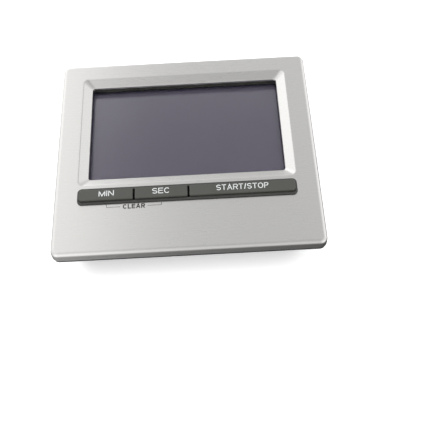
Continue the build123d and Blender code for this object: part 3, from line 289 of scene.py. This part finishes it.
# ---------------------------------------------------------------- print
LEGEND_WHITE = printed("legend_white", linear(190, 193, 193))
LEGEND_BLACK = printed("legend_black", linear(30, 30, 30))
LINE_GREY = printed("line_grey", linear(96, 96, 96))


def as_piece(name, mesh, material, body):
    piece = bpy.data.objects.new(name, mesh)
    bpy.context.scene.collection.objects.link(piece)
    mesh.materials.append(material)
    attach(piece, body)
    return piece


def arc(x, y, across, up, start, end):
    """Points of an elliptic arc round a centre, from one angle to another in degrees."""
    steps = max(2, round(abs(end - start) / ARC_STEP))
    angles = [math.radians(start + (end - start) * i / steps) for i in range(steps + 1)]
    return [(x + across * math.cos(t), y + up * math.sin(t)) for t in angles]


def glyph(letter, w, h):
    """The centre lines of a capital's strokes, for its width and half its stroke weight. Its height is 1."""
    bowl = arc(w - BOWL, 1 - BOWL_RISE - h / 2, BOWL - h, BOWL_RISE - h / 2, 90, -90)
    curl = (0.5 - h) / 2
    strokes = {
        "I": [[(w / 2, 0), (w / 2, 1)]],
        "M": [[(h, 0), (h, 1)], [(w - h, 0), (w - h, 1)], [(h, 0.95), (w / 2, 0.06), (w - h, 0.95)]],
        "N": [[(h, 0), (h, 1)], [(w - h, 0), (w - h, 1)], [(h, 0.95), (w - h, 0.05)]],
        "E": [[(w, 1 - h), (h, 1 - h), (h, h), (w, h)], [(h, 0.52), (w * 0.93, 0.52)]],
        "L": [[(h, 1), (h, h), (w, h)]],
        "T": [[(0, 1 - h), (w, 1 - h)], [(w / 2, 1 - h), (w / 2, 0)]],
        "A": [[(h, 0), (w / 2, 0.97), (w - h, 0)], [(w * 0.22, 0.32), (w * 0.78, 0.32)]],
        "C": [arc(w / 2, 0.5, w / 2 - h, 0.5 - h, 42, 318)],
        "O": [arc(w / 2, 0.5, w / 2 - h, 0.5 - h, 0, 360)],
        "S": [
            arc(w / 2, 0.5 + curl, w / 2 - h, curl, 20, 270)[:-1]
            + arc(w / 2, 0.5 - curl, w / 2 - h, curl, 90, -160)
        ],
        "P": [[(h, 0), (h, 1)], [(h, 1 - h), *bowl, (h, 0.48)]],
        "R": [[(h, 0), (h, 1)], [(h, 1 - h), *bowl, (h, 0.48)], [(w * 0.52, 0.48), (w - h, 0)]],
        "/": [[(h, 0), (w - h, 1)]],
    }
    return strokes[letter]


def band(shape, points, weight):
    """Adds a flat band of even width along a line, with mitred corners."""
    points = [Vector(p) for p in points]
    pairs = []
    for i, point in enumerate(points):
        runs = [(points[j + 1] - points[j]).normalized() for j in (i - 1, i) if 0 <= j < len(points) - 1]
        side = sum(runs, Vector((0, 0))).normalized().orthogonal()
        reach = weight / 2 / max(MITRE_LIMIT, side.dot(runs[0].orthogonal()))
        pairs.append([shape.verts.new((*(point + s * side * reach), 0)) for s in (1, -1)])
    for (a, b), (c, d) in zip(pairs, pairs[1:]):
        shape.faces.new((a, b, d, c))


def lettering(name, text, centre, width, height, weight, material, body):
    """Printed capitals fitted to a width and a height, a hair above the surface."""
    natural = sum(GLYPH_WIDTHS[c] for c in text) + GLYPH_GAP * (len(text) - 1)
    stretch = width / natural
    half_weight = weight / 2
    shape = bmesh.new()
    left = -width / 2
    for letter in text:
        glyph_width = GLYPH_WIDTHS[letter] * stretch
        for line in glyph(letter, glyph_width / height, half_weight):
            band(shape, [(left + x * height, (y - 0.5) * height) for x, y in line], weight * height)
        left += glyph_width + GLYPH_GAP * stretch
    bmesh.ops.recalc_face_normals(shape, faces=shape.faces)
    bmesh.ops.solidify(shape, geom=shape.faces[:], thickness=LEGEND_THICKNESS)
    lowest = min(v.co.z for v in shape.verts)
    bmesh.ops.translate(shape, vec=centre + Vector((0, 0, LEGEND_LIFT - lowest)), verts=shape.verts)
    mesh = bpy.data.meshes.new(name)
    shape.to_mesh(mesh)
    shape.free()
    return as_piece(name, mesh, material, body)


def printed_bars(name, boxes, z, material, body):
    """Flat printed lines, each from its low corner to its high corner."""
    shape = bmesh.new()
    for low, high in boxes:
        made = bmesh.ops.create_cube(shape, size=1.0)
        for v in made["verts"]:
            v.co.x = low[0] if v.co.x < 0 else high[0]
            v.co.y = low[1] if v.co.y < 0 else high[1]
            v.co.z = z + LEGEND_LIFT + (LEGEND_THICKNESS if v.co.z > 0 else 0)
    mesh = bpy.data.meshes.new(name)
    shape.to_mesh(mesh)
    shape.free()
    return as_piece(name, mesh, material, body)


def middle(node):
    low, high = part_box(node)
    return (low + high) / 2


KEY_LEGENDS = {"key_min": "MIN", "key_sec": "SEC", "key_start_stop": "START/STOP"}
for body, text in KEY_LEGENDS.items():
    pill = middle("carbon_pill_" + body.removeprefix("key_"))
    shift = MIN_X_OFFSET if text == "MIN" else 0
    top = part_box(body + "_cap")[1].z
    lettering(
        body + "_legend",
        text,
        Vector((pill.x + shift, pill.y + LEGEND_Y_OFFSET, top)),
        LEGEND_WIDTHS[text],
        LEGEND_HEIGHT,
        LEGEND_WEIGHT,
        LEGEND_WHITE,
        body,
    )

key_y = middle("carbon_pill_min").y
min_x = middle("carbon_pill_min").x + MIN_X_OFFSET
sec_x = middle("carbon_pill_sec").x
collar_y = key_y - COLLAR_HALF_DEPTH
line_y = collar_y - CLEAR_BELOW_COLLAR
clear_x = (min_x + sec_x) / 2
lettering(
    "clear_legend",
    "CLEAR",
    Vector((clear_x, line_y, FACE_CENTRE.z)),
    CLEAR_WIDTH,
    CLEAR_HEIGHT,
    CLEAR_WEIGHT,
    LEGEND_BLACK,
    "case",
)
half = BRACKET_LINE / 2
text_left = clear_x - CLEAR_WIDTH / 2 - BRACKET_GAP
text_right = clear_x + CLEAR_WIDTH / 2 + BRACKET_GAP
printed_bars(
    "clear_bracket",
    [
        ((min_x - half, line_y - half), (text_left, line_y + half)),
        ((text_right, line_y - half), (sec_x + half, line_y + half)),
        ((min_x - half, line_y + half), (min_x + half, collar_y - BRACKET_LINE)),
        ((sec_x - half, line_y + half), (sec_x + half, collar_y - BRACKET_LINE)),
    ],
    FACE_CENTRE.z,
    LINE_GREY,
    "case",
)


# ---------------------------------------------------------------- stage, light, camera
def floor():
    """A pale floor that isn't seen from below."""
    mesh = bpy.data.meshes.new("floor")
    corners = [(x * FLOOR_HALF, y * FLOOR_HALF, cad_low.z) for x, y in ((-1, -1), (1, -1), (1, 1), (-1, 1))]
    mesh.from_pydata(corners, [], [(0, 1, 2, 3)])
    piece = bpy.data.objects.new("floor", mesh)
    bpy.context.scene.collection.objects.link(piece)
    m = Nodes("floor", (0.93, 0.93, 0.93, 1), 0.9, Specular_IOR_Level=0.1, Emission_Strength=FLOOR_GLOW)
    m.shader.inputs["Emission Color"].default_value = (1, 1, 1, 1)
    geometry = m.tree.nodes.new("ShaderNodeNewGeometry")
    clear = m.tree.nodes.new("ShaderNodeBsdfTransparent")
    mixed = m.tree.nodes.new("ShaderNodeMixShader")
    m.link(geometry.outputs["Backfacing"], mixed.inputs["Fac"])
    m.link(m.shader.outputs["BSDF"], mixed.inputs[1])
    m.link(clear.outputs["BSDF"], mixed.inputs[2])
    m.link(mixed.outputs["Shader"], m.tree.nodes["Material Output"].inputs["Surface"])
    mesh.materials.append(m.material)
    piece.visible_glossy = False


def softbox(name, place, power):
    """A square lamp turned to the face. Metal doesn't mirror it, so that the room alone shapes the gloss."""
    light = bpy.data.lights.new(name, "AREA")
    light.shape = "SQUARE"
    light.size = LAMP_SIZE
    light.energy = power
    lamp = bpy.data.objects.new(name, light)
    lamp.location = place
    lamp.rotation_mode = "QUATERNION"
    lamp.rotation_quaternion = (FACE_CENTRE - Vector(place)).to_track_quat("-Z", "Y")
    lamp.visible_glossy = False
    bpy.context.scene.collection.objects.link(lamp)


def profile(tree, value, points):
    """A brightness that follows named points against a value from -1 to 1."""
    scaled = tree.nodes.new("ShaderNodeMapRange")
    scaled.inputs["From Min"].default_value = -1.0
    tree.links.new(value, scaled.inputs["Value"])
    ramp = tree.nodes.new("ShaderNodeValToRGB")
    elements = ramp.color_ramp.elements
    while len(elements) < len(points):
        elements.new(0.5)
    for element, (place, _) in zip(elements, points):
        element.position = (place + 1) / 2
    for element, (_, brightness) in zip(elements, points):
        element.color = (brightness, brightness, brightness, 1)
    tree.links.new(scaled.outputs["Result"], ramp.inputs["Fac"])
    return ramp.outputs["Color"]


def product(tree, first, second):
    multiply = tree.nodes.new("ShaderNodeMath")
    multiply.operation = "MULTIPLY"
    tree.links.new(first, multiply.inputs[0])
    tree.links.new(second, multiply.inputs[1])
    return multiply.outputs["Value"]


def mirrored_table(tree, sideways, height):
    """1, or in reflections that point below the horizon a fade to the darker table."""
    fade = tree.nodes.new("ShaderNodeMapRange")
    fade.inputs["From Min"].default_value, fade.inputs["From Max"].default_value = TABLE_FADE
    tree.links.new(profile(tree, sideways, TABLE_MIRRORED), fade.inputs["To Min"])
    tree.links.new(height, fade.inputs["Value"])
    path = tree.nodes.new("ShaderNodeLightPath")
    pick = tree.nodes.new("ShaderNodeMix")
    pick.inputs["A"].default_value = 1.0
    tree.links.new(path.outputs["Is Glossy Ray"], pick.inputs["Factor"])
    tree.links.new(fade.outputs["Result"], pick.inputs["B"])
    return pick.outputs["Result"]


def plain_backdrop(tree, brightness):
    """The room's brightness for light and reflections, and an even white behind the object."""
    path = tree.nodes.new("ShaderNodeLightPath")
    pick = tree.nodes.new("ShaderNodeMix")
    pick.inputs["B"].default_value = 1.0
    tree.links.new(path.outputs["Is Camera Ray"], pick.inputs["Factor"])
    tree.links.new(brightness, pick.inputs["A"])
    return pick.outputs["Result"]


def studio():
    """A pale room with soft changes of brightness, and two large soft lamps overhead."""
    world = bpy.data.worlds.new("studio")
    world.use_nodes = True
    tree = world.node_tree
    direction = tree.nodes.new("ShaderNodeTexCoord").outputs["Generated"]
    split = tree.nodes.new("ShaderNodeSeparateXYZ")
    tree.links.new(direction, split.inputs["Vector"])
    across = profile(tree, split.outputs["X"], ROOM_ACROSS)
    depth = profile(tree, split.outputs["Y"], ROOM_DEPTH)
    table = mirrored_table(tree, split.outputs["X"], split.outputs["Z"])
    brightness = product(tree, product(tree, across, depth), table)
    background = tree.nodes["Background"]
    background.inputs["Color"].default_value = (1, 1, 1, 1)
    tree.links.new(plain_backdrop(tree, brightness), background.inputs["Strength"])
    bpy.context.scene.world = world
    softbox("key_lamp", KEY_LAMP_PLACE, KEY_LAMP_POWER)
    softbox("fill_lamp", FILL_LAMP_PLACE, FILL_LAMP_POWER)


def camera():
    data = bpy.data.cameras.new("camera")
    data.lens = CAMERA_LENS
    data.sensor_width = CAMERA_SENSOR
    data.clip_start, data.clip_end = CAMERA_CLIP
    eye = bpy.data.objects.new("camera", data)
    forward = CAMERA_UP.cross(CAMERA_RIGHT)
    turn = Matrix((CAMERA_RIGHT, CAMERA_UP, -forward)).transposed()
    eye.matrix_world = Matrix.Translation(FACE_CENTRE + CAMERA_FROM_FACE) @ turn.to_4x4()
    bpy.context.scene.collection.objects.link(eye)
    bpy.context.scene.camera = eye


floor()
studio()
camera()
bpy.context.scene.view_settings.view_transform = "Standard"
